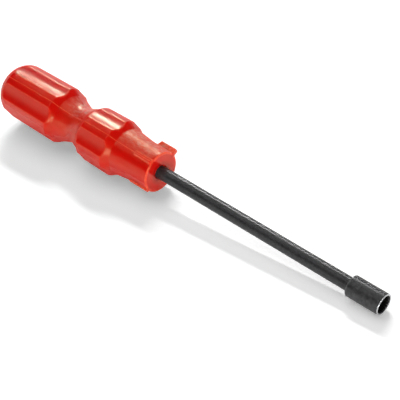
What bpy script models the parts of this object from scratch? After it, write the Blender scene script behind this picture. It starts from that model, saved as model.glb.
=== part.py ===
"""Carburetor adjustment tool: fluted moulded handle, steel shank and splined socket sleeve.

Units are metres and degrees. The pieces are modelled along the Z axis of one empty, from the
butt of the handle at Z = 0 to the mouth of the socket, with +X pointing down to the table.
The empty then lays the tool on the table plane, where it rests on its front grip and on the
mouth of the socket and points along world +X.
"""
import math

import bmesh
import bpy
import numpy as np
from mathutils import Matrix, Vector

# Fit between neighbouring pieces
CLEARANCE = 0.0003

# Handle lengths, from the butt to the nose
DOME_LENGTH = 0.0091
REAR_GRIP_LENGTH = 0.0252
REAR_FLANK_LENGTH = 0.0032
REAR_WAIST_LENGTH = 0.0071
FRONT_WAIST_LENGTH = 0.0062
FRONT_RISE_LENGTH = 0.0028
FRONT_GRIP_LENGTH = 0.0139
FRONT_FLANK_LENGTH = 0.0035
FLARE_LENGTH = 0.0086
CONE_LENGTH = 0.0105

# Handle diameters at the corners of its outline, from the butt to the nose
REAR_GRIP_START_DIAMETER = 0.0241
REAR_GRIP_END_DIAMETER = 0.0244
REAR_CREASE_DIAMETER = 0.0206
WAIST_DIAMETER = 0.0155
RISE_CREASE_DIAMETER = 0.0200
FRONT_GRIP_START_DIAMETER = 0.0236
FRONT_GRIP_END_DIAMETER = 0.0240
FRONT_CREASE_DIAMETER = 0.0199
CONE_DIAMETER = 0.0179
NOSE_DIAMETER = 0.0174

# Fillets of those corners
GRIP_EDGE_RADIUS = 0.0012
WAIST_RADIUS = 0.0070
FLARE_RADIUS = 0.0400
NOSE_EDGE_RADIUS = 0.0006

# Flutes, the same number on both grips
FLUTE_COUNT = 6
FLUTE_RADIUS = 0.0160
FLUTE_DEPTH = 0.0009

# Ribs at the nose: one tall index tab and three low quarter marks
RIB_COUNT = 4
INDEX_TAB_ANGLE = 120.0
INDEX_TAB_HEIGHT = 0.0022
INDEX_TAB_LENGTH = 0.0088
QUARTER_RIB_HEIGHT = 0.00045
QUARTER_RIB_LENGTH = 0.0092
RIB_WIDTH = 0.0017
RIB_ROOT = 0.0020
RIB_EDGE_RADIUS = 0.0003

# Shank
SHANK_DIAMETER = 0.0054
SHANK_REACH = 0.0926
SHANK_HELD_LENGTH = 0.0460
SHANK_END_CHAMFER = 0.0004
WING_WIDTH = 0.0088
WING_THICKNESS = 0.0024
WING_LENGTH = 0.0100
WING_SETBACK = 0.0060
WING_EDGE_RADIUS = 0.0005

# Socket sleeve
SPLINE_COUNT = 21
SPLINE_CREST_DIAMETER = 0.0064
SPLINE_HEIGHT = 0.0003
SPLINE_LENGTH = 0.0100
SOCKET_WALL = 0.00065
SOCKET_GRIP_LENGTH = 0.0040
SOCKET_SHOULDER_RADIUS = 0.0008
MOUTH_EDGE_RADIUS = 0.00015
MOUTH_COUNTERSINK = 0.00015

# Facets of round shapes
HANDLE_STEPS = 60
ROD_STEPS = 48
SLEEVE_STEPS = 63
FLUTE_STEPS = 96
DOME_POINTS = 8
FILLET_POINTS = 4
SMOOTH_ANGLE = 24.0

# Heights along the tool, worked out from the lengths
REAR_GRIP_START = DOME_LENGTH
REAR_GRIP_END = REAR_GRIP_START + REAR_GRIP_LENGTH
REAR_CREASE = REAR_GRIP_END + REAR_FLANK_LENGTH
WAIST = REAR_CREASE + REAR_WAIST_LENGTH
RISE_CREASE = WAIST + FRONT_WAIST_LENGTH
FRONT_GRIP_START = RISE_CREASE + FRONT_RISE_LENGTH
FRONT_GRIP_END = FRONT_GRIP_START + FRONT_GRIP_LENGTH
FRONT_CREASE = FRONT_GRIP_END + FRONT_FLANK_LENGTH
CONE_START = FRONT_CREASE + FLARE_LENGTH
NOSE = CONE_START + CONE_LENGTH
SHANK_REAR = NOSE - SHANK_HELD_LENGTH
SOCKET_REAR = NOSE + SHANK_REACH
SPLINE_FLOOR = SOCKET_REAR + SOCKET_GRIP_LENGTH
MOUTH = SPLINE_FLOOR + SPLINE_LENGTH

# Radii that follow from a fit
SHANK_HOLE_RADIUS = SHANK_DIAMETER / 2 + CLEARANCE
SPLINE_ROOT_RADIUS = SPLINE_CREST_DIAMETER / 2 + SPLINE_HEIGHT
SOCKET_RADIUS = max(SPLINE_ROOT_RADIUS, SHANK_HOLE_RADIUS) + SOCKET_WALL


def clear_scene():
    for obj in list(bpy.data.objects):
        bpy.data.objects.remove(obj, do_unlink=True)


def new_collection(name):
    collection = bpy.data.collections.new(name)
    bpy.context.scene.collection.children.link(collection)
    return collection


def new_material(name, colour, roughness, metallic):
    material = bpy.data.materials.new(name)
    material.use_nodes = True
    shader = material.node_tree.nodes["Principled BSDF"]
    shader.inputs["Base Color"].default_value = (*colour, 1.0)
    shader.inputs["Roughness"].default_value = roughness
    shader.inputs["Metallic"].default_value = metallic
    return material


def new_object(name, mesh, collection):
    obj = bpy.data.objects.new(name, mesh)
    collection.objects.link(obj)
    return obj


def turned(name, profile, steps, collection, closed=False):
    """Turn (radius, height) points round Z, listed from the top down the outer side."""
    mesh = bpy.data.meshes.new(name)
    points = [(radius, 0.0, height) for radius, height in profile]
    edges = [(i, i + 1) for i in range(len(points) - 1)]
    if closed:
        edges.append((len(points) - 1, 0))
    mesh.from_pydata(points, edges, [])
    obj = new_object(name, mesh, collection)
    screw = obj.modifiers.new("turn", "SCREW")
    screw.axis = "Z"
    screw.steps = steps
    screw.render_steps = steps
    screw.use_merge_vertices = True
    screw.merge_threshold = 0.00001
    return obj


def bar(name, radii, heights, steps, collection):
    """A round bar along Z, given its radius and height at the bottom and at the top."""
    bottom, top = heights
    mesh = bpy.data.meshes.new(name)
    shape = bmesh.new()
    bmesh.ops.create_cone(shape, cap_ends=True, segments=steps, radius1=radii[0],
                          radius2=radii[1], depth=top - bottom)
    bmesh.ops.translate(shape, verts=shape.verts, vec=(0.0, 0.0, (bottom + top) / 2))
    shape.to_mesh(mesh)
    shape.free()
    return new_object(name, mesh, collection)


def block(name, size, centre, edge_radius, collection):
    """A box with rounded edges."""
    mesh = bpy.data.meshes.new(name)
    shape = bmesh.new()
    bmesh.ops.create_cube(shape, size=1.0)
    bmesh.ops.scale(shape, verts=shape.verts, vec=size)
    bmesh.ops.translate(shape, verts=shape.verts, vec=centre)
    shape.to_mesh(mesh)
    shape.free()
    obj = new_object(name, mesh, collection)
    if edge_radius > 0.0:
        bevel = obj.modifiers.new("soft_edges", "BEVEL")
        bevel.width = edge_radius
        bevel.segments = 2
    return obj


def combine(target, tool, operation):
    """Cut the tool from the target or join the tool to it."""
    tool.hide_render = True
    tool.display_type = "WIRE"
    boolean = target.modifiers.new(tool.name, "BOOLEAN")
    boolean.operation = operation
    boolean.object = tool
    boolean.solver = "EXACT"


def finish(obj, material, parent):
    """Make the evaluated shape the object's own mesh, shade it and hang it on the tool's axis."""
    bpy.context.view_layer.update()
    depsgraph = bpy.context.evaluated_depsgraph_get()
    mesh = bpy.data.meshes.new_from_object(obj.evaluated_get(depsgraph))
    obj.modifiers.clear()
    obj.data = mesh
    mesh.name = obj.name
    mesh.materials.clear()
    mesh.materials.append(material)
    mesh.shade_smooth()
    mesh.set_sharp_from_angle(angle=math.radians(SMOOTH_ANGLE))
    obj.parent = parent


def fillet(before, corner, after):
    """Arc that rounds one (radius, height, fillet) corner of an outline."""
    point = Vector(corner[:2])
    back = Vector(before[:2]) - point
    ahead = Vector(after[:2]) - point
    if corner[2] == 0.0:
        return [tuple(point)]
    half_angle = back.angle(ahead) / 2
    tangent = min(corner[2] / math.tan(half_angle), back.length / 2, ahead.length / 2)
    size = tangent * math.tan(half_angle)
    middle = (back.normalized() + ahead.normalized()).normalized()
    centre = point + middle * (size / math.sin(half_angle))
    first = point + back.normalized() * tangent - centre
    last = point + ahead.normalized() * tangent - centre
    start = math.atan2(first.y, first.x)
    turn = math.atan2(first.x * last.y - first.y * last.x, first.dot(last))
    arc = []
    for i in range(FILLET_POINTS + 1):
        angle = start + turn * i / FILLET_POINTS
        arc.append((centre.x + size * math.cos(angle), centre.y + size * math.sin(angle)))
    return arc


def rounded_outline(corners):
    """Outline through (radius, height, fillet) corners, with its two end points kept sharp."""
    outline = [corners[0][:2]]
    for before, corner, after in zip(corners, corners[1:], corners[2:]):
        outline += fillet(before, corner, after)
    outline.append(corners[-1][:2])
    return outline


def handle_profile():
    """Outline of the handle from the middle of the nose face down to the pole of the butt."""
    profile = rounded_outline([
        (0.0, NOSE, 0.0),
        (NOSE_DIAMETER / 2, NOSE, NOSE_EDGE_RADIUS),
        (CONE_DIAMETER / 2, CONE_START, FLARE_RADIUS),
        (FRONT_CREASE_DIAMETER / 2, FRONT_CREASE, 0.0),
        (FRONT_GRIP_END_DIAMETER / 2, FRONT_GRIP_END, GRIP_EDGE_RADIUS),
        (FRONT_GRIP_START_DIAMETER / 2, FRONT_GRIP_START, GRIP_EDGE_RADIUS),
        (RISE_CREASE_DIAMETER / 2, RISE_CREASE, 0.0),
        (WAIST_DIAMETER / 2, WAIST, WAIST_RADIUS),
        (REAR_CREASE_DIAMETER / 2, REAR_CREASE, 0.0),
        (REAR_GRIP_END_DIAMETER / 2, REAR_GRIP_END, GRIP_EDGE_RADIUS),
        (REAR_GRIP_START_DIAMETER / 2, REAR_GRIP_START, 0.0),
    ])
    for i in range(1, DOME_POINTS):
        angle = math.pi / 2 * i / DOME_POINTS
        radius = REAR_GRIP_START_DIAMETER / 2 * math.cos(angle)
        profile.append((radius, DOME_LENGTH * (1.0 - math.sin(angle))))
    profile.append((0.0, 0.0))
    return profile


def flute_cutters(grip, start, end, back, ahead, collection):
    """Long bars round one grip, each lying along its surface at the depth of a flute.

    The bars run past the ends of the grip by the lengths back and ahead, so that each flute
    ends where the outline falls below its floor.
    """
    rise = end[0] - start[0]
    run = end[1] - start[1]
    slope = math.atan2(rise, run)
    length = math.hypot(rise, run)
    floor = Vector((start[0] - FLUTE_DEPTH, 0.0, start[1]))
    lift = Vector((math.cos(slope), 0.0, -math.sin(slope))) * FLUTE_RADIUS
    cutters = []
    for i in range(FLUTE_COUNT):
        cutter = bar(f"{grip}_flute_{i + 1}", (FLUTE_RADIUS, FLUTE_RADIUS),
                     (-back, length + ahead), FLUTE_STEPS, collection)
        lean = Matrix.Rotation(slope, 4, "Y")
        turn = Matrix.Rotation(2 * math.pi * i / FLUTE_COUNT, 4, "Z")
        cutter.matrix_world = turn @ Matrix.Translation(floor + lift) @ lean
        cutters.append(cutter)
    return cutters


def nose_rib(number, collection):
    """One rib along the nose: the first is the tall index tab, the others mark quarter turns."""
    if number == 0:
        height, length = INDEX_TAB_HEIGHT, INDEX_TAB_LENGTH
    else:
        height, length = QUARTER_RIB_HEIGHT, QUARTER_RIB_LENGTH
    front = NOSE - NOSE_EDGE_RADIUS
    inner = NOSE_DIAMETER / 2 - RIB_ROOT
    outer = NOSE_DIAMETER / 2 + height
    size = (outer - inner, RIB_WIDTH, length)
    centre = ((outer + inner) / 2, 0.0, front - length / 2)
    rib = block(f"nose_rib_{number + 1}", size, centre, RIB_EDGE_RADIUS, collection)
    angle = INDEX_TAB_ANGLE + number * 360.0 / RIB_COUNT
    rib.rotation_euler = (0.0, 0.0, math.radians(angle))
    return rib


def wings(name, margin, collection):
    """The flattened part of the shank, or with a margin the pocket that holds it.

    The wings spread square to the index tab, in the parting plane of the handle's mould.
    """
    bottom = SHANK_REAR + WING_SETBACK
    size = (WING_THICKNESS + 2 * margin, WING_WIDTH + 2 * margin, WING_LENGTH + 2 * margin)
    centre = (0.0, 0.0, bottom + WING_LENGTH / 2)
    flat = block(name, size, centre, WING_EDGE_RADIUS, collection)
    flat.rotation_euler = (0.0, 0.0, math.radians(INDEX_TAB_ANGLE))
    return flat


def make_handle(parts, cutters, axis):
    handle = turned("handle", handle_profile(), HANDLE_STEPS, parts)
    rear_start = (REAR_GRIP_START_DIAMETER / 2, REAR_GRIP_START)
    rear_end = (REAR_GRIP_END_DIAMETER / 2, REAR_GRIP_END)
    front_start = (FRONT_GRIP_START_DIAMETER / 2, FRONT_GRIP_START)
    front_end = (FRONT_GRIP_END_DIAMETER / 2, FRONT_GRIP_END)
    flutes = flute_cutters("rear", rear_start, rear_end, DOME_LENGTH, REAR_FLANK_LENGTH, cutters)
    flutes += flute_cutters("front", front_start, front_end, FRONT_RISE_LENGTH,
                            FRONT_FLANK_LENGTH, cutters)
    for cutter in flutes:
        combine(handle, cutter, "DIFFERENCE")
    for number in range(RIB_COUNT):
        combine(handle, nose_rib(number, cutters), "UNION")
    bore = bar("shank_bore", (SHANK_HOLE_RADIUS, SHANK_HOLE_RADIUS),
               (SHANK_REAR - CLEARANCE, NOSE + CLEARANCE), ROD_STEPS, cutters)
    combine(handle, bore, "DIFFERENCE")
    combine(handle, wings("wing_pocket", CLEARANCE, cutters), "DIFFERENCE")
    finish(handle, new_material("red_plastic", (0.58, 0.016, 0.008), 0.28, 0.0), axis)
    return handle


def make_shank(parts, cutters, axis):
    radius = SHANK_DIAMETER / 2
    end_radius = radius - SHANK_END_CHAMFER
    profile = [
        (0.0, SPLINE_FLOOR),
        (end_radius, SPLINE_FLOOR),
        (radius, SPLINE_FLOOR - SHANK_END_CHAMFER),
        (radius, SHANK_REAR + SHANK_END_CHAMFER),
        (end_radius, SHANK_REAR),
        (0.0, SHANK_REAR),
    ]
    shank = turned("shank", profile, ROD_STEPS, parts)
    combine(shank, wings("shank_wings", 0.0, cutters), "UNION")
    finish(shank, new_material("black_oxide_steel", (0.030, 0.030, 0.032), 0.42, 0.85), axis)
    return shank


def spline_cutter(collection):
    """A toothed bar that broaches the bore of the socket."""
    mesh = bpy.data.meshes.new("spline_broach")
    shape = bmesh.new()
    bmesh.ops.create_circle(shape, cap_ends=True, radius=SPLINE_ROOT_RADIUS,
                            segments=2 * SPLINE_COUNT)
    crest = SPLINE_CREST_DIAMETER / 2 / SPLINE_ROOT_RADIUS
    shape.verts.ensure_lookup_table()
    for vert in list(shape.verts)[::2]:
        vert.co *= crest
    depth = SPLINE_LENGTH + CLEARANCE
    extruded = bmesh.ops.extrude_face_region(shape, geom=list(shape.faces))
    top = [item for item in extruded["geom"] if isinstance(item, bmesh.types.BMVert)]
    bmesh.ops.translate(shape, verts=top, vec=(0.0, 0.0, depth))
    bmesh.ops.translate(shape, verts=shape.verts, vec=(0.0, 0.0, SPLINE_FLOOR))
    bmesh.ops.recalc_face_normals(shape, faces=shape.faces)
    shape.to_mesh(mesh)
    shape.free()
    return new_object("spline_broach", mesh, collection)


def make_socket(parts, cutters, axis):
    profile = rounded_outline([
        (SHANK_HOLE_RADIUS, MOUTH, 0.0),
        (SOCKET_RADIUS, MOUTH, MOUTH_EDGE_RADIUS),
        (SOCKET_RADIUS, SOCKET_REAR, SOCKET_SHOULDER_RADIUS),
        (SHANK_HOLE_RADIUS, SOCKET_REAR, 0.0),
    ])
    socket = turned("socket", profile, SLEEVE_STEPS, parts, closed=True)
    combine(socket, spline_cutter(cutters), "DIFFERENCE")
    sink_depth = SPLINE_HEIGHT + MOUTH_COUNTERSINK
    sink_radius = SPLINE_CREST_DIAMETER / 2 + sink_depth
    sink = bar("mouth_countersink", (sink_radius - sink_depth - CLEARANCE, sink_radius + CLEARANCE),
               (MOUTH - sink_depth - CLEARANCE, MOUTH + CLEARANCE), SLEEVE_STEPS, cutters)
    combine(socket, sink, "DIFFERENCE")
    finish(socket, new_material("black_oxide_socket", (0.034, 0.034, 0.036), 0.40, 0.85), axis)
    return socket


def reach_down(obj, tilt):
    """How far below the tool's axis origin the piece reaches once the socket end is lowered."""
    points = np.array([vert.co for vert in obj.data.vertices])
    return float(np.max(points[:, 0] * math.cos(tilt) + points[:, 2] * math.sin(tilt)))


def resting_tilt(handle, socket):
    """The tilt at which handle and socket touch the table together, found by halving."""
    low = 0.0
    high = math.pi / 4
    for _ in range(50):
        tilt = (low + high) / 2
        if reach_down(handle, tilt) > reach_down(socket, tilt):
            low = tilt
        else:
            high = tilt
    return (low + high) / 2


def lay_on_table(axis, pieces):
    """Tilt the tool until it rests, and put the middle of its underside at the origin."""
    axis.rotation_euler = (0.0, math.pi / 2 + resting_tilt(pieces["handle"], pieces["socket"]), 0.0)
    bpy.context.view_layer.update()
    points = []
    for piece in pieces.values():
        points += [piece.matrix_world @ vert.co for vert in piece.data.vertices]
    points = np.array(points)
    low = points.min(axis=0)
    high = points.max(axis=0)
    axis.location = (-(low[0] + high[0]) / 2, -(low[1] + high[1]) / 2, -low[2])
    bpy.context.view_layer.update()


def main():
    clear_scene()
    parts = new_collection("carburetor_adjustment_tool")
    cutters = new_collection("cutters")
    axis = new_object("tool_axis", None, parts)
    pieces = {
        "handle": make_handle(parts, cutters, axis),
        "shank": make_shank(parts, cutters, axis),
        "socket": make_socket(parts, cutters, axis),
    }
    lay_on_table(axis, pieces)


if __name__ == "__main__":
    main()
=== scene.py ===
"""Looks of a carburetor adjustment tool: moulded red handle, black steel shank and socket.

The pieces are built along the Z axis of the tool, from the butt of the handle at Z = 0 to the
mouth of the socket, with +X pointing down to the table. They are then laid where the CAD model
lies. Angles are in degrees. Sizes of the tool are in millimetres, and those of the stage and of
the patterns in the materials are in metres.
"""
import math

import bpy
import numpy as np
from mathutils import Matrix, Vector


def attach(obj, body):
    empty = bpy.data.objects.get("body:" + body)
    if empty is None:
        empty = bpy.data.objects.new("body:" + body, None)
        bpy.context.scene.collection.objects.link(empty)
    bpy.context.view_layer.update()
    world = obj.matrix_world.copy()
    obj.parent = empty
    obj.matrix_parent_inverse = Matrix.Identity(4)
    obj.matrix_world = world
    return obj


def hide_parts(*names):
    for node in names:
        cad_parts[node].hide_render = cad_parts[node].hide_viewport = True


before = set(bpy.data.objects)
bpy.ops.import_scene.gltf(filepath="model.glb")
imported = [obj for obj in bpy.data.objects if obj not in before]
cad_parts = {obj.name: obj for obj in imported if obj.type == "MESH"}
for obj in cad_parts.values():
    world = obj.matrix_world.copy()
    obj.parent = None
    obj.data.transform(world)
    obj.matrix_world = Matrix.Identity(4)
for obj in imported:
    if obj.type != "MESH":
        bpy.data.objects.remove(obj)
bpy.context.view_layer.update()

MM = 0.001

# Where the butt of the handle lies, in metres, and how far the tool's axis dips to the socket
AXIS_ORIGIN = (-0.09830542, 0.0, 0.01526732)
AXIS_TILT = 3.24445
TOOL_PLACE = (Matrix.Translation(AXIS_ORIGIN)
              @ Matrix.Rotation(math.radians(90.0 + AXIS_TILT), 4, "Y"))

# Grips of the handle: height and radius of both ends
REAR_GRIP = ((9.1, 12.05), (34.3, 12.2))
FRONT_GRIP = ((53.6, 11.8), (67.5, 12.0))

# Heights of the creases beside the grips, and the nose
REAR_CREASE = 37.5
WAIST_CREASE = 50.8
FRONT_CREASE = 71.0
NOSE = 90.1
NOSE_RADIUS = 8.7
NOSE_EDGE = 0.5

# Outline of the handle from the end of its dome to the nose: height, radius and fillet
HANDLE_CORNERS = (
    (*REAR_GRIP[0], 0.0),
    (*REAR_GRIP[1], 1.2),
    (REAR_CREASE, 10.3, 0.35),
    (44.6, 7.75, 7.0),
    (WAIST_CREASE, 10.0, 0.4),
    (*FRONT_GRIP[0], 0.7),
    (*FRONT_GRIP[1], 1.1),
    (FRONT_CREASE, 9.95, 0.15),
    (79.6, 8.95, 40.0),
    (NOSE - NOSE_EDGE, NOSE_RADIUS, 0.0),
)

# Flutes: the grip that they run along, and the heights between which they may cut
FLUTES = (
    (REAR_GRIP, 0.0, REAR_CREASE),
    (FRONT_GRIP, WAIST_CREASE, FRONT_CREASE),
)
FLUTE_COUNT = 6
FLUTE_RADIUS = 18.5
FLUTE_DEPTH = 0.86
FLUTE_EDGE = 0.26

# Seams of the mould
SEAM_ANGLES = (30.0, 210.0)
SEAM_HEIGHT = 0.10
SEAM_WIDTH = 0.42

# Ribs at the nose, the tall one first: angle, outer radius and height of the rear end
RIBS = (
    (120.0, 10.9, 81.3),
    (210.0, 9.47, 80.7),
    (300.0, 9.40, 80.3),
    (30.0, 9.47, 80.7),
)
RIB_WIDTH = 1.7
RIB_EDGE = 0.14
RIB_SLOPE = 2.5
RIB_REACH = math.radians(40.0)

# Worn edges of the handle, paler with wear and partly with a painted highlight: how strong the
# paleness is, how far from the edge it fades, and how far ahead of a rib's rear end it lies
FLUTE_WEAR_AND_HIGHLIGHT = 0.4
FLUTE_WEAR_AND_HIGHLIGHT_REACH = 0.22
RIB_WEAR_AND_HIGHLIGHT_REACH = 0.4
RIB_END_SHIFT = 0.15
NOSE_WEAR_AND_HIGHLIGHT = 0.9

# Steps round each rounded corner of a piece
FILLET_STEPS = 6

# Rows of the handle's mesh, those near a rib measured from its rear end
DOME_STEPS = 22
HANDLE_ROW_STEP = 0.7
RIB_ROWS = np.arange(-0.3, 1.2, 0.15)

# Columns of the handle's mesh: angle of an edge from the middle of its flute or rib, and how far
# the closer columns reach on both sides of an edge, with their step
HANDLE_COLUMN_STEP = 4.0
FLUTE_EDGE_ANGLE = 16.8
FLUTE_COLUMNS = (2.4, 0.6)
SEAM_COLUMNS = (1.25, 0.25)
RIB_EDGE_ANGLE = 5.0
RIB_COLUMNS = (1.1, 0.2)

# Shank and its seat in the handle
SHANK_RADIUS = 2.7
SHANK_HOLE_RADIUS = 3.0
SHANK_REAR = 44.1
SHANK_END_CHAMFER = 0.4
WING_ANGLE = 120.0
WING_BOTTOM = 50.1
WING_LENGTH = 10.0
WING_WIDTH = 8.8
WING_THICKNESS = 2.4
WING_EDGE = 0.3
WING_END_SLOPE = 0.05
CLEARANCE = 0.3
BORE_CHAMFER = 0.35
BORE_EDGE_WIDTH = 0.1
BORE_EDGE_DROP = 0.03

# Rows and columns of the bore and the shank
NOSE_FACE_RADII = (7.6, 6.4, 5.2, 4.2)
BORE_FIRST_ROW = 3.0
BORE_ROWS = 6
SHANK_FIRST_ROW = 6.0
SHANK_ROWS = 60
SHANK_COLUMN_STEP = 3.0
WING_COLUMNS = (30.0, 1.5)

# Socket
SOCKET_REAR = 182.7
SPLINE_FLOOR = 186.7
MOUTH = 196.7
SOCKET_RADIUS = 4.15
SHOULDER_RADIUS = 0.8
MOUTH_EDGE = 0.18
MOUTH_INNER_EDGE = 0.08
SPLINE_COUNT = 21
SPLINE_CREST = 3.2
SPLINE_ROOT = 3.5
SPLINE_STEEPNESS = 1.6
SPLINE_SHIFT = 0.3
COUNTERSINK = 0.45

# Rows and columns of the socket
COLUMNS_PER_SPLINE = 8
SOCKET_ROW_STEP = 0.8
SPLINE_FIRST_ROW = 1.2
SPLINE_ROWS = 10

# Least value to divide by, and a distance beyond every surface
TINY = 1e-4
FAR = 100.0

# Zones of the finish: the heights where one starts, is full, begins to fade and ends
WAIST_ZONE = (38.0, 46.0, 50.5, 52.0)
CONE_ZONE = (70.5, 71.5, 87.5, 90.0)
NOSE_FACE_ZONE = (89.0, 89.5, 91.0, 92.0)
RIM_ZONE = (196.40, 196.58, 197.00, 197.10)
SHOULDER_ZONE = (182.60, 182.75, 183.20, 183.50)

# Colours of the plastic
PLASTIC_DEEP = (0.590, 0.0020, 0.0013, 1.0)
PLASTIC_BRIGHT = (0.620, 0.0045, 0.0020, 1.0)
# Pale haze: rub marks, and a painted sheen on the waist and the cone's upper side
PLASTIC_HAZE_AND_SHEEN = (0.680, 0.0750, 0.0280, 1.0)
# Edges: paler with wear, and partly a painted highlight
PLASTIC_WEAR_AND_HIGHLIGHT = (0.90, 0.110, 0.050, 1.0)
# Chalky scuffs on the upper side, partly a painted sheen
PLASTIC_CHALK_AND_SHEEN = (0.69, 0.38, 0.32, 1.0)
# Painted shade: darkening round the hole of the shaft
PLASTIC_PAINTED_SHADE = (0.10, 0.001, 0.001, 1.0)
PLASTIC_SHEEN = (1.0, 0.80, 0.26, 1.0)

# Colours of the steel
STEEL_FLECK = (0.20, 0.20, 0.21, 1.0)
STEEL_BARE = (0.56, 0.56, 0.57, 1.0)
# Painted shade: the deep bore of the socket is near black
BORE_PAINTED_SHADE = (0.004, 0.004, 0.004, 1.0)

# Scales that stretch the rub marks of the plastic and the drawn lines of the steel
RUBBED_SCALE = (1000.0, 1000.0, 420.0)
DRAWN_SCALE = (2600.0, 2600.0, 60.0)

# Sockets of a colour mix, which have no names of their own
MIX_FACTOR = 0
MIX_FIRST = 6
MIX_SECOND = 7
MIX_RESULT = 2

# Floor: two shades that light meets, two where the camera or a reflection sees it, and what it
# adds to its own colour there
FLOOR_HALF_SIZE = 3.0
FLOOR_HEIGHT = -0.00003
FLOOR_PALE = (0.84, 0.86)
FLOOR_SEEN = (1.17, 1.19)
FLOOR_GLOW = 0.18

# Line that the key light is stretched along, so that its highlights run the length of the tool
TOOL_LINE = (1.0, 0.0, 0.0)

# Lamps: name, azimuth, elevation, distance, width and height, radiance, and line of the width
LAMPS = (
    ("key", -142.2, 41.6, 1.2, (0.58, 0.11), 37.0, TOOL_LINE),
    ("softbox", -143.0, 24.0, 1.3, (0.9, 0.62), 2.1, None),
    ("front", 40.0, 9.0, 1.3, (2.2, 0.5), 4.6, None),
    ("overhead", -80.0, 74.0, 1.4, (1.6, 1.4), 1.0, None),
    ("side", 88.0, 22.0, 1.3, (1.1, 0.85), 0.8, None),
)

# World: levels of grey from the horizon at 0 to straight overhead at 1
WORLD_LEVELS = (
    (0.0, 1.25),
    (0.06, 1.2),
    (0.10, 1.0),
    (0.16, 0.6),
    (0.216, 0.25),
    (0.26, 0.10),
    (0.30, 0.05),
    (1.0, 0.04),
)

# Camera, fitted to the photograph
CAMERA_TARGET = (-0.0003, 0.0, 0.008)
CAMERA_AZIMUTH = 45.99
CAMERA_ELEVATION = 38.95
CAMERA_ROLL = -4.686
CAMERA_DISTANCE = 0.42745
CAMERA_CLIP_START = 0.01
FOCAL_PIXELS = 1100.0
IMAGE_PIXELS = 400.0
TARGET_PIXEL = (176.18, 184.58)
SENSOR_MM = 36.0


def smooth_min(a, b, size):
    """The smaller of two values, rounded where they are within the size of each other."""
    near = np.maximum(size - np.abs(a - b), 0.0) / size
    return np.minimum(a, b) - near * near * size / 4


def smooth_max(a, b, size):
    """The larger of two values, rounded in the same way."""
    return -smooth_min(-a, -b, size)


def faded(distance, reach):
    """One at no distance, falling to zero at the reach and beyond."""
    return np.clip(1.0 - distance / reach, 0.0, 1.0)


def angle_off(angles, centre):
    """Angles measured from a centre, from -180 to 180 degrees."""
    return (angles - centre + 180.0) % 360.0 - 180.0


def spread(centre, reach, step):
    """Angles in even steps on both sides of a centre."""
    return list(centre + np.arange(-reach, reach + step / 2, step))


def in_order(angles):
    """Angles of a whole turn, sorted, each of them once."""
    return np.unique(np.round(np.array(angles) % 360.0, 2))


def quarter_turn(steps):
    """Angles in radians that lead through a quarter of a circle, without the first one."""
    return [math.pi / 2 * i / steps for i in range(1, steps + 1)]


def fillet(before, corner, after):
    """Arc that rounds one corner of an outline."""
    here = np.array(corner[:2])
    back = np.array(before[:2]) - here
    ahead = np.array(after[:2]) - here
    if corner[2] == 0.0:
        return [tuple(here)]
    back_length = np.linalg.norm(back)
    ahead_length = np.linalg.norm(ahead)
    back = back / back_length
    ahead = ahead / ahead_length
    half = math.acos(float(np.clip(back @ ahead, -1.0, 1.0))) / 2
    tangent = min(corner[2] / math.tan(half), back_length / 2, ahead_length / 2)
    radius = tangent * math.tan(half)
    middle = (back + ahead) / np.linalg.norm(back + ahead)
    centre = here + middle * radius / math.sin(half)
    first = here + back * tangent - centre
    last = here + ahead * tangent - centre
    start = math.atan2(first[1], first[0])
    turn = math.atan2(first[0] * last[1] - first[1] * last[0], float(first @ last))
    arc = []
    for i in range(FILLET_STEPS + 1):
        angle = start + turn * i / FILLET_STEPS
        arc.append((centre[0] + radius * math.cos(angle), centre[1] + radius * math.sin(angle)))
    return arc


def rounded(corners):
    """Outline through (height, radius, fillet) corners, with its two ends kept."""
    outline = [tuple(corners[0][:2])]
    for before, corner, after in zip(corners, corners[1:], corners[2:]):
        outline += fillet(before, corner, after)
    outline.append(tuple(corners[-1][:2]))
    return outline


def filled_in(outline, step):
    """The same outline with extra points, so that no two lie further apart than the step."""
    points = [outline[0]]
    for a, b in zip(outline, outline[1:]):
        count = max(1, math.ceil(math.dist(a, b) / step))
        for i in range(1, count + 1):
            points.append((a[0] + (b[0] - a[0]) * i / count, a[1] + (b[1] - a[1]) * i / count))
    return points


def ring_points(rows, angles):
    """Points of one ring after another, in metres, from the height and the radii of each row."""
    turn = np.radians(angles)
    rings = []
    for height, radii in rows:
        level = np.full(len(turn), height)
        rings.append(np.stack([radii * np.cos(turn), radii * np.sin(turn), level], axis=-1))
    return [tuple(point) for point in np.concatenate(rings) * MM]


def ring_faces(rows, columns, loop):
    """Faces between rings, and in a loop also between the last ring and the first."""
    faces = []
    for row in range(rows if loop else rows - 1):
        here = row * columns
        there = (row + 1) % rows * columns
        for column in range(columns):
            beside = (column + 1) % columns
            faces.append((here + column, here + beside, there + beside, there + column))
    return faces


def pole_faces(pole, first, columns):
    """Faces between a pole and the ring whose points begin at the first."""
    faces = []
    for column in range(columns):
        a = first + column
        b = first + (column + 1) % columns
        faces.append((pole, b, a) if first == 0 else (pole, a, b))
    return faces


def skin(name, rows, angles, edge_wear_and_highlight=None, poles=None):
    """Piece over rings of (height, radii) rows, closed by a pole at each end or run in a loop."""
    columns = len(angles)
    points = ring_points(rows, angles)
    faces = ring_faces(len(rows), columns, loop=poles is None)
    last_ring = (len(rows) - 1) * columns
    for height, ring in zip(poles or (), (0, last_ring)):
        faces += pole_faces(len(points), ring, columns)
        points.append((0.0, 0.0, height * MM))
    mesh = bpy.data.meshes.new(name)
    mesh.from_pydata(points, [], faces)
    if edge_wear_and_highlight is not None:
        values = np.zeros(len(points), dtype=np.float32)
        values[:edge_wear_and_highlight.size] = edge_wear_and_highlight.reshape(-1)
        attribute = mesh.attributes.new("edge", "FLOAT", "POINT")
        attribute.data.foreach_set("value", values)
    mesh.shade_smooth()
    piece = bpy.data.objects.new(name, mesh)
    bpy.context.scene.collection.objects.link(piece)
    piece.matrix_world = TOOL_PLACE
    return piece


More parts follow.
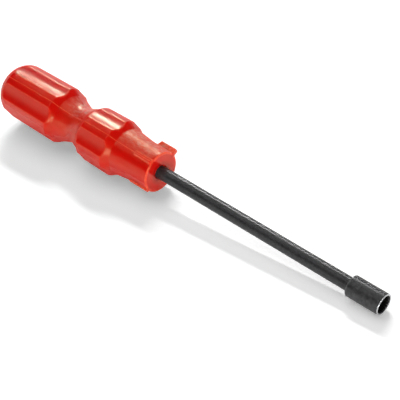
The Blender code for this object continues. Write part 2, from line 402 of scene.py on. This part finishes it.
def handle_angles():
    """Angles of the handle's columns, closer together at flute edges, seams and ribs."""
    angles = list(np.arange(0.0, 360.0, HANDLE_COLUMN_STEP))
    for side in (-1.0, 1.0):
        for i in range(FLUTE_COUNT):
            flute = 360.0 / FLUTE_COUNT * i
            angles += spread(flute + side * FLUTE_EDGE_ANGLE, *FLUTE_COLUMNS)
        for rib, _, _ in RIBS:
            angles += spread(rib + side * RIB_EDGE_ANGLE, *RIB_COLUMNS)
    for seam in SEAM_ANGLES:
        angles += spread(seam, *SEAM_COLUMNS)
    return in_order(angles)


def handle_outline():
    """Heights and radii of the rows on the handle's outside, closer together where ribs start."""
    dome_length, dome_radius = REAR_GRIP[0]
    outline = []
    for angle in quarter_turn(DOME_STEPS)[:-1]:
        outline.append((dome_length * (1.0 - math.cos(angle)), dome_radius * math.sin(angle)))
    outline += filled_in(sorted(rounded(HANDLE_CORNERS)), HANDLE_ROW_STEP)
    heights, radii = np.array(outline).T
    extra = sorted({round(start + offset, 3) for _, _, start in RIBS for offset in RIB_ROWS})
    added = np.interp(extra, heights, radii)
    heights = np.append(heights, extra)
    radii = np.append(radii, added)
    order = np.argsort(heights, kind="stable")
    return heights[order], radii[order]


def flute_floor(heights, angles):
    """Distance from the axis to the nearest flute's surface, far away where there is none."""
    pitch = 360.0 / FLUTE_COUNT
    turn = np.radians((angles + pitch / 2) % pitch - pitch / 2)
    floor = np.full(np.broadcast(heights, angles).shape, FAR)
    for ((start, start_radius), (end, end_radius)), lowest, highest in FLUTES:
        land = start_radius + (end_radius - start_radius) * (heights - start) / (end - start)
        centre = land - FLUTE_DEPTH + FLUTE_RADIUS
        inside = FLUTE_RADIUS ** 2 - (centre * np.sin(turn)) ** 2
        reach = centre * np.cos(turn) - np.sqrt(np.maximum(inside, 0.0))
        cut = (inside > 0.0) & (heights > lowest) & (heights < highest)
        floor = np.where(cut, np.minimum(floor, reach), floor)
    return floor


def rib_top(heights, angles, base):
    """Distance from the axis to the outside of the nearest rib, zero where there is none."""
    top = np.zeros(base.shape)
    for centre, radius, start in RIBS:
        turn = np.radians(np.abs(angle_off(angles, centre)))
        side = RIB_WIDTH / 2 / np.maximum(np.sin(turn), TINY)
        crown = radius / np.maximum(np.cos(turn), TINY)
        shape = smooth_min(side, crown, RIB_EDGE)
        ramp = base - RIB_EDGE + (heights - start) * RIB_SLOPE
        shape = smooth_min(shape, np.maximum(ramp, 0.0), RIB_EDGE)
        top = np.where(turn < RIB_REACH, np.maximum(top, shape), top)
    return top


def rib_wear_and_highlight(heights, angles, shape):
    """Wear and painted highlight along the sides and the rear ends of the ribs."""
    wear_and_highlight = np.zeros(shape.shape)
    for centre, _, start in RIBS:
        turn = np.radians(np.abs(angle_off(angles, centre)))
        off_middle = np.sin(turn) * shape
        across = np.abs(off_middle - RIB_WIDTH / 2)
        along = np.where(off_middle < RIB_WIDTH / 2, np.abs(heights - start - RIB_END_SHIFT), FAR)
        near = np.where(heights > start, np.minimum(across, along), along)
        wear_and_highlight = np.where(turn < RIB_REACH, np.maximum(wear_and_highlight, faded(near, RIB_WEAR_AND_HIGHLIGHT_REACH)), wear_and_highlight)
    return wear_and_highlight


def handle_surface(heights, radii, angles):
    """Radii of the handle's outside, with its wear and painted highlight, by rows and columns."""
    row = heights[:, None]
    column = angles[None, :]
    base = np.broadcast_to(radii[:, None], (len(heights), len(angles)))
    floor = flute_floor(row, column)
    shape = smooth_min(base, floor, FLUTE_EDGE)
    # Flute edges: wear and partly a painted highlight
    wear_and_highlight = FLUTE_WEAR_AND_HIGHLIGHT * faded(np.abs(base - floor), FLUTE_WEAR_AND_HIGHLIGHT_REACH)
    for seam in SEAM_ANGLES:
        off = np.radians(np.abs(angle_off(column, seam))) * shape
        ridge = faded(off, SEAM_WIDTH / 2)
        shape = shape + SEAM_HEIGHT * ridge
        wear_and_highlight = np.maximum(wear_and_highlight, ridge)
    shape = smooth_max(shape, rib_top(row, column, base), RIB_EDGE)
    wear_and_highlight = np.maximum(wear_and_highlight, rib_wear_and_highlight(row, column, shape))
    return shape, wear_and_highlight


def nose_rows(last_radii):
    """Rows round the edge of the nose, from the radii of the last row of the handle's outside."""
    stand_out = last_radii - NOSE_RADIUS
    rows = []
    for angle in quarter_turn(FILLET_STEPS):
        height = NOSE - NOSE_EDGE + NOSE_EDGE * math.sin(angle)
        radius = NOSE_RADIUS - NOSE_EDGE + NOSE_EDGE * math.cos(angle)
        rows.append((height, radius + stand_out))
    return rows


def wing_radius(angles, margin):
    """Outline of the flattened part of the shank, or with a margin that of its pocket."""
    turn = np.radians(angle_off(angles, WING_ANGLE))
    across = (WING_THICKNESS / 2 + margin) / np.maximum(np.abs(np.cos(turn)), TINY)
    along = (WING_WIDTH / 2 + margin) / np.maximum(np.abs(np.sin(turn)), TINY)
    return smooth_min(across, along, WING_EDGE)


def bore_rows(angles):
    """Rows of the nose's face and of the hole for the shank, with the pocket for its wings."""
    plain = np.ones(len(angles))
    hole = plain * SHANK_HOLE_RADIUS
    pocket = np.maximum(wing_radius(angles, CLEARANCE), SHANK_HOLE_RADIUS)
    pocket_top = WING_BOTTOM + WING_LENGTH + CLEARANCE
    pocket_bottom = WING_BOTTOM - CLEARANCE
    opening = SHANK_HOLE_RADIUS + BORE_CHAMFER
    rows = [(NOSE, plain * radius) for radius in (*NOSE_FACE_RADII, opening + BORE_EDGE_WIDTH)]
    rows.append((NOSE - BORE_EDGE_DROP, plain * opening))
    rows.append((NOSE - BORE_CHAMFER, hole))
    for height in np.linspace(NOSE - BORE_FIRST_ROW, pocket_top, BORE_ROWS):
        rows.append((height, hole))
    rows.append((pocket_top, pocket))
    rows.append((pocket_bottom, pocket))
    rows.append((pocket_bottom, hole))
    rows.append((SHANK_REAR - CLEARANCE, hole))
    return rows


def make_handle():
    """Handle with flutes, seams, ribs and the bore of the shank."""
    angles = handle_angles()
    heights, radii = handle_outline()
    shape, wear_and_highlight = handle_surface(heights, radii, angles)
    nose = nose_rows(shape[-1])
    bore = bore_rows(angles)
    # The nose's rounded edge: wear and partly a painted highlight
    nose_wear_and_highlight = np.full((len(nose), len(angles)), NOSE_WEAR_AND_HIGHLIGHT)
    bore_wear_and_highlight = np.zeros((len(bore), len(angles)))
    edge_wear_and_highlight = np.concatenate([wear_and_highlight, nose_wear_and_highlight, bore_wear_and_highlight])
    rows = list(zip(heights, shape)) + nose + bore
    return skin("moulded_handle", rows, angles, edge_wear_and_highlight, poles=(0.0, SHANK_REAR - CLEARANCE))


def make_shank():
    """Rod with chamfered ends, and wings in the part inside the handle."""
    angles = list(np.arange(0.0, 360.0, SHANK_COLUMN_STEP))
    for side in (90.0, 270.0):
        angles += spread(WING_ANGLE + side, *WING_COLUMNS)
    angles = in_order(angles)
    plain = np.full(len(angles), SHANK_RADIUS)
    winged = np.maximum(wing_radius(angles, 0.0), SHANK_RADIUS)
    tip = plain - SHANK_END_CHAMFER
    wing_top = WING_BOTTOM + WING_LENGTH
    rows = [
        (SHANK_REAR, tip),
        (SHANK_REAR + SHANK_END_CHAMFER, plain),
        (WING_BOTTOM, plain),
        (WING_BOTTOM + WING_END_SLOPE, winged),
        (wing_top - WING_END_SLOPE, winged),
        (wing_top, plain),
    ]
    in_sight = np.linspace(NOSE - SHANK_FIRST_ROW, SPLINE_FLOOR - SHANK_END_CHAMFER, SHANK_ROWS)
    rows += [(height, plain) for height in in_sight]
    rows.append((SPLINE_FLOOR, tip))
    return skin("steel_shank", rows, angles, poles=(SHANK_REAR, SPLINE_FLOOR))


def make_socket():
    """Sleeve with a rounded shoulder, a countersunk mouth and splines in its bore."""
    columns = SPLINE_COUNT * COLUMNS_PER_SPLINE
    angles = np.arange(columns) * 360.0 / columns
    plain = np.ones(columns)
    tooth = 0.5 + 0.5 * np.cos(np.radians(angles * SPLINE_COUNT))
    tooth = np.clip(tooth * SPLINE_STEEPNESS - SPLINE_SHIFT, 0.0, 1.0)
    spline = SPLINE_ROOT - (SPLINE_ROOT - SPLINE_CREST) * tooth
    outside = rounded((
        (SOCKET_REAR, SHANK_HOLE_RADIUS, 0.0),
        (SOCKET_REAR, SOCKET_RADIUS, SHOULDER_RADIUS),
        (MOUTH, SOCKET_RADIUS, MOUTH_EDGE),
        (MOUTH, SPLINE_CREST + COUNTERSINK, MOUTH_INNER_EDGE),
        (MOUTH - COUNTERSINK, SPLINE_CREST, 0.0),
    ))
    rows = [(height, plain * radius) for height, radius in filled_in(outside, SOCKET_ROW_STEP)[:-1]]
    root_start = MOUTH - COUNTERSINK + (SPLINE_CREST + COUNTERSINK - SPLINE_ROOT)
    rows.append((root_start, plain * SPLINE_ROOT))
    rows.append((MOUTH - COUNTERSINK, spline))
    for height in np.linspace(MOUTH - SPLINE_FIRST_ROW, SPLINE_FLOOR, SPLINE_ROWS):
        rows.append((height, spline))
    rows.append((SPLINE_FLOOR, plain * SHANK_HOLE_RADIUS))
    return skin("steel_socket", rows, angles)


def grey(level, blue=None):
    """A grey, or one with a blue of its own."""
    return (level, level, level if blue is None else blue, 1.0)


class Shader:
    """Short calls for building one node material."""

    def __init__(self, name):
        self.material = bpy.data.materials.new(name)
        self.material.use_nodes = True
        self.tree = self.material.node_tree
        self.surface = self.tree.nodes["Principled BSDF"]
        self.place = self.add("ShaderNodeTexCoord").outputs["Object"]

    def add(self, kind, **settings):
        made = self.tree.nodes.new(kind)
        for name, value in settings.items():
            setattr(made, name, value)
        return made

    def put(self, node, name, value):
        """Set an input of a node to a number or colour, or link another node's output to it."""
        socket = node.inputs[name]
        if isinstance(value, bpy.types.NodeSocket):
            self.tree.links.new(value, socket)
        else:
            socket.default_value = value

    def dress(self, inputs):
        """Set or link inputs of the surface itself."""
        for name, value in inputs.items():
            self.put(self.surface, name, value)

    def stretched(self, scale):
        """The object's own coordinates, scaled by a different amount along each axis."""
        mapping = self.add("ShaderNodeMapping")
        self.put(mapping, "Vector", self.place)
        self.put(mapping, "Scale", scale)
        return mapping.outputs["Vector"]

    def noise(self, scale, detail, where=None, roughness=0.5):
        made = self.add("ShaderNodeTexNoise")
        self.put(made, "Vector", self.place if where is None else where)
        self.put(made, "Scale", scale)
        self.put(made, "Detail", detail)
        self.put(made, "Roughness", roughness)
        return made.outputs["Fac"]

    def ranged(self, value, span, to=(0.0, 1.0)):
        """A value moved from one range to another and kept within it."""
        made = self.add("ShaderNodeMapRange")
        self.put(made, "Value", value)
        self.put(made, "From Min", span[0])
        self.put(made, "From Max", span[1])
        self.put(made, "To Min", to[0])
        self.put(made, "To Max", to[1])
        return made.outputs["Result"]

    def math(self, operation, a, b):
        made = self.add("ShaderNodeMath", operation=operation)
        self.put(made, 0, a)
        self.put(made, 1, b)
        return made.outputs["Value"]

    def times(self, a, b):
        return self.math("MULTIPLY", a, b)

    def plus(self, a, b):
        return self.math("ADD", a, b)

    def minus(self, a, b):
        return self.math("SUBTRACT", a, b)

    def larger(self, a, b):
        return self.math("MAXIMUM", a, b)

    def blend(self, factor, a, b):
        """Mix of two colours."""
        made = self.add("ShaderNodeMix", data_type="RGBA")
        self.put(made, MIX_FACTOR, factor)
        self.put(made, MIX_FIRST, a)
        self.put(made, MIX_SECOND, b)
        return made.outputs[MIX_RESULT]

    def bump(self, height, distance, strength, below=None):
        made = self.add("ShaderNodeBump")
        self.put(made, "Height", height)
        self.put(made, "Distance", distance)
        self.put(made, "Strength", strength)
        if below is not None:
            self.put(made, "Normal", below)
        return made.outputs["Normal"]

    def edge(self):
        """Wear and painted highlight of the handle's edges."""
        return self.add("ShaderNodeAttribute", attribute_name="edge").outputs["Fac"]

    def slant(self):
        """How far the surface turns away from the eye, for gloss only."""
        return self.add("ShaderNodeLayerWeight").outputs["Facing"]

    def axis(self, letter):
        """One of the object's own coordinates."""
        made = self.add("ShaderNodeSeparateXYZ")
        self.put(made, 0, self.place)
        return made.outputs[letter]

    def from_axis(self):
        """Distance from the axis of the tool."""
        made = self.add("ShaderNodeVectorMath", operation="LENGTH")
        self.put(made, 0, self.stretched((1.0, 1.0, 0.0)))
        return made.outputs["Value"]

    def zone(self, heights):
        """One between two heights along the tool, fading to zero beyond them."""
        start, full, fading, end = (height * MM for height in heights)
        height = self.axis("Z")
        rise = self.ranged(height, (start, full))
        fall = self.ranged(height, (fading, end), (1.0, 0.0))
        return self.times(rise, fall)


def plastic_colour(shader, cloud, grain, edge):
    """Red in two shades, paler on edges with wear and a painted highlight."""
    colour = shader.blend(shader.ranged(cloud, (0.35, 0.70)), PLASTIC_DEEP, PLASTIC_BRIGHT)
    # Edges paler with wear, and partly as a painted highlight
    wear_and_highlight = shader.times(edge, shader.ranged(grain, (0.35, 0.65), (0.45, 0.95)))
    return shader.blend(wear_and_highlight, colour, PLASTIC_WEAR_AND_HIGHLIGHT)


def plastic_marks(shader, colour, rubbed, scuff, dull, above):
    """The colour with a pale haze of rub marks and painted sheen, chalky scuffs with painted sheen
    on the upper side, and painted shade round the shaft.
    """
    # Pale haze of rub marks, stronger on the waist and the cone's upper side, partly a painted sheen
    haze_and_sheen = shader.times(scuff, shader.ranged(dull, (0.0, 1.0), (0.06, 0.45)))
    haze_and_sheen = shader.plus(haze_and_sheen, shader.times(dull, 0.22))
    colour = shader.blend(haze_and_sheen, colour, PLASTIC_HAZE_AND_SHEEN)
    # Chalky scuffs on the upper side of the waist and cone, partly a painted sheen
    chalk_and_sheen = shader.ranged(rubbed, (0.42, 0.64), (0.03, 0.48))
    chalk_and_sheen = shader.times(chalk_and_sheen, shader.times(dull, above))
    colour = shader.blend(chalk_and_sheen, colour, PLASTIC_CHALK_AND_SHEEN)
    # Painted shade on the nose's face, darker towards the hole of the shaft
    round_shaft = shader.ranged(shader.from_axis(), (3.2 * MM, 5.6 * MM), (0.55, 0.0))
    painted_shade = shader.times(round_shaft, shader.zone(NOSE_FACE_ZONE))
    return shader.blend(painted_shade, colour, PLASTIC_PAINTED_SHADE)


def plastic_roughness(shader, cloud, scuff, cone, edge):
    """Rougher on scuffs, on the cone and where the surface slants away, smoother on edges."""
    rough = shader.ranged(cloud, (0.30, 0.72), (0.19, 0.23))
    rough = shader.plus(rough, shader.times(scuff, 0.05))
    rough = shader.plus(rough, shader.ranged(cone, (0.0, 1.0), (0.0, 0.20)))
    rough = shader.plus(rough, shader.ranged(shader.slant(), (0.47, 0.84), (0.0, 0.53)))
    return shader.minus(rough, shader.times(edge, 0.06))


def red_plastic():
    """Glossy red plastic with a rubbed waist and a dull cone, paler there with rub marks and a
    painted sheen.
    """
    shader = Shader("red_moulded_plastic")
    cloud = shader.noise(scale=70.0, detail=3.0)
    grain = shader.noise(scale=900.0, detail=4.0)
    along = shader.stretched(RUBBED_SCALE)
    rubbed = shader.noise(scale=1.0, detail=5.0, where=along, roughness=0.68)
    scuff = shader.ranged(rubbed, (0.54, 0.72))
    edge = shader.edge()
    upper = shader.ranged(shader.axis("X"), (-1.0 * MM, -4.0 * MM))
    far_side = shader.ranged(shader.axis("Y"), (-5.0 * MM, -1.0 * MM))
    above = shader.times(upper, far_side)
    waist = shader.zone(WAIST_ZONE)
    cone = shader.times(shader.zone(CONE_ZONE), above)
    dull = shader.larger(waist, cone)
    colour = plastic_colour(shader, cloud, grain, edge)
    wavy = shader.bump(shader.noise(scale=150.0, detail=2.0), distance=0.00012, strength=0.12)
    shader.dress({
        "Base Color": plastic_marks(shader, colour, rubbed, scuff, dull, above),
        "Roughness": plastic_roughness(shader, cloud, scuff, cone, edge),
        "IOR": 1.41,
        "Specular Tint": PLASTIC_SHEEN,
        "Coat Weight": shader.ranged(shader.minus(waist, cone), (-1.0, 1.0), (0.01, 0.17)),
        "Coat Roughness": 0.16,
        "Coat IOR": 2.0,
        "Subsurface Weight": 0.7,
        "Subsurface Radius": (1.0, 0.15, 0.1),
        "Subsurface Scale": 0.008,
        "Normal": shader.bump(grain, distance=0.00002, strength=0.25, below=wavy),
    })
    return shader.material


def oxide_colour(shader, tone, mottle, cloud):
    """Mottled black with a few lighter flecks."""
    dark = grey(tone * 0.50, tone * 0.52)
    light = grey(tone * 1.60, tone * 1.64)
    colour = shader.blend(shader.ranged(mottle, (0.32, 0.70)), dark, light)
    colour = shader.blend(shader.ranged(cloud, (0.45, 0.70), (0.0, 0.45)), colour, dark)
    fleck = shader.ranged(shader.noise(scale=2300.0, detail=2.0), (0.72, 0.80))
    return shader.blend(fleck, colour, STEEL_FLECK)


def oxide_roughness(shader, mottle, drawn):
    """A little uneven, and rougher where the surface slants away."""
    rough = shader.ranged(mottle, (0.30, 0.70), (0.29, 0.31))
    rough = shader.plus(rough, shader.ranged(drawn, (0.35, 0.70), (-0.005, 0.010)))
    return shader.plus(rough, shader.ranged(shader.slant(), (0.60, 0.92), (0.0, 0.45)))


def sleeve_finish(shader, colour, mottle):
    """The colour with painted shade in the bore and bare steel at the rim, and where the steel is
    bare.
    """
    outward = shader.from_axis()
    # Painted shade inside the bore
    inside = shader.ranged(outward, (3.56 * MM, 3.64 * MM), (1.0, 0.0))
    colour = shader.blend(inside, colour, BORE_PAINTED_SHADE)
    rim = shader.times(shader.zone(RIM_ZONE), shader.ranged(outward, (3.56 * MM, 3.66 * MM)))
    bare = shader.larger(rim, shader.times(shader.zone(SHOULDER_ZONE), 0.10))
    bare = shader.times(bare, shader.ranged(mottle, (0.30, 0.50), (0.55, 1.0)))
    return shader.blend(bare, colour, STEEL_BARE), bare


def black_oxide(name, tone, grain, sleeve=False):
    """Blackened steel. On the sleeve the rim is rubbed bare, and the shoulder a little."""
    shader = Shader(name)
    cloud = shader.noise(scale=grain * 0.3, detail=2.0)
    mottle = shader.noise(scale=grain, detail=4.0, roughness=0.65)
    along = shader.stretched(DRAWN_SCALE)
    drawn = shader.noise(scale=1.0, detail=3.0, where=along, roughness=0.6)
    colour = oxide_colour(shader, tone, mottle, cloud)
    if sleeve:
        colour, bare = sleeve_finish(shader, colour, mottle)
        shader.dress({"Metallic": bare})
    rolled = shader.bump(drawn, distance=0.000004, strength=0.12)
    shader.dress({
        "Base Color": colour,
        "Roughness": oxide_roughness(shader, mottle, drawn),
        "IOR": 1.36,
        "Normal": shader.bump(mottle, distance=0.000004, strength=0.12, below=rolled),
    })
    return shader.material


def floor_material():
    """Pale to the light that falls on it, and white where the camera or a reflection sees it."""
    shader = Shader("pale_floor")
    cloud = shader.noise(scale=3.0, detail=2.0)
    pale = shader.blend(cloud, grey(FLOOR_PALE[0]), grey(FLOOR_PALE[1]))
    white = shader.blend(cloud, grey(FLOOR_SEEN[0]), grey(FLOOR_SEEN[1]))
    path = shader.add("ShaderNodeLightPath").outputs
    seen = shader.larger(path["Is Camera Ray"], path["Is Glossy Ray"])
    seen = shader.larger(seen, path["Is Transmission Ray"])
    shader.dress({
        "Base Color": shader.blend(seen, pale, white),
        "Roughness": 0.9,
        "Specular IOR Level": 0.0,
        "Emission Color": grey(1.0),
        "Emission Strength": shader.times(seen, FLOOR_GLOW),
    })
    return shader.material


def make_floor():
    """Wide floor just under the tool."""
    corners = []
    for x, y in ((-1, -1), (1, -1), (1, 1), (-1, 1)):
        corners.append((x * FLOOR_HALF_SIZE, y * FLOOR_HALF_SIZE, FLOOR_HEIGHT))
    mesh = bpy.data.meshes.new("floor")
    mesh.from_pydata(corners, [], [(0, 1, 2, 3)])
    floor = bpy.data.objects.new("floor", mesh)
    bpy.context.scene.collection.objects.link(floor)
    mesh.materials.append(floor_material())


def direction(azimuth, elevation):
    """Unit vector to a point of the compass: azimuth 0 is -Y and 90 is +X."""
    a = math.radians(azimuth)
    e = math.radians(elevation)
    return Vector((math.sin(a) * math.cos(e), -math.cos(a) * math.cos(e), math.sin(e)))


def make_lamp(name, azimuth, elevation, distance, size, radiance, line):
    """A lit panel that faces the tool from a distance, level or with its width along a line."""
    data = bpy.data.lights.new(name, "AREA")
    data.shape = "RECTANGLE"
    data.size = size[0]
    data.size_y = size[1]
    data.energy = radiance * math.pi * size[0] * size[1]
    # Only direct samples of the panel count, not rays that happen to meet it
    data.cycles.use_multiple_importance_sampling = False
    panel = bpy.data.objects.new(name, data)
    bpy.context.scene.collection.objects.link(panel)
    back = direction(azimuth, elevation)
    width = Vector((0.0, 0.0, 1.0)).cross(back) if line is None else Vector(line)
    width = (width - back * width.dot(back)).normalized()
    turn = Matrix((width, back.cross(width), back)).transposed().to_4x4()
    panel.matrix_world = Matrix.Translation(back * distance) @ turn


def make_world():
    """Pale near the horizon and dim overhead."""
    world = bpy.data.worlds.new("studio")
    bpy.context.scene.world = world
    world.use_nodes = True
    tree = world.node_tree
    background = tree.nodes["Background"]
    where = tree.nodes.new("ShaderNodeTexCoord")
    split = tree.nodes.new("ShaderNodeSeparateXYZ")
    ramp = tree.nodes.new("ShaderNodeValToRGB")
    tree.links.new(where.outputs["Generated"], split.inputs[0])
    tree.links.new(split.outputs["Z"], ramp.inputs["Fac"])
    tree.links.new(ramp.outputs["Color"], background.inputs["Color"])
    stops = ramp.color_ramp.elements
    while len(stops) < len(WORLD_LEVELS):
        stops.new(0.5)
    for stop, (place, level) in zip(stops, WORLD_LEVELS):
        stop.position = place
        stop.color = grey(level)
    background.inputs["Strength"].default_value = 1.0


def make_camera():
    """Camera of the photograph, shifted so that the target falls on its own pixel."""
    back = direction(CAMERA_AZIMUTH, CAMERA_ELEVATION)
    turn = math.radians(CAMERA_AZIMUTH)
    level = Vector((math.cos(turn), math.sin(turn), 0.0))
    upward = back.cross(level)
    roll = math.radians(CAMERA_ROLL)
    right = level * math.cos(roll) + upward * math.sin(roll)
    up = upward * math.cos(roll) - level * math.sin(roll)
    pixel = CAMERA_DISTANCE / FOCAL_PIXELS
    middle = IMAGE_PIXELS / 2
    place = (Vector(CAMERA_TARGET) + back * CAMERA_DISTANCE
             - right * (TARGET_PIXEL[0] - middle) * pixel
             + up * (TARGET_PIXEL[1] - middle) * pixel)
    data = bpy.data.cameras.new("camera")
    data.sensor_width = SENSOR_MM
    data.lens = FOCAL_PIXELS * SENSOR_MM / IMAGE_PIXELS
    data.clip_start = CAMERA_CLIP_START
    camera = bpy.data.objects.new("camera", data)
    bpy.context.scene.collection.objects.link(camera)
    camera.matrix_world = Matrix.Translation(place) @ Matrix((right, up, back)).transposed().to_4x4()
    bpy.context.scene.camera = camera


bpy.context.scene.view_settings.view_transform = "Standard"
make_camera()
make_world()
make_floor()
for settings in LAMPS:
    make_lamp(*settings)

shank_steel = black_oxide("black_oxide_shank", tone=0.029, grain=1300.0)
socket_steel = black_oxide("black_oxide_sleeve", tone=0.035, grain=800.0, sleeve=True)
pieces = (
    (make_handle(), "handle", "red_plastic", red_plastic()),
    (make_shank(), "shank", "black_oxide_steel", shank_steel),
    (make_socket(), "socket", "black_oxide_socket", socket_steel),
)
for piece, node, slot, material in pieces:
    piece.data.materials.append(material)
    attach(piece, "root")
    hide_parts(node)
    # The tool throws no red light on to the floor
    piece.visible_diffuse = False
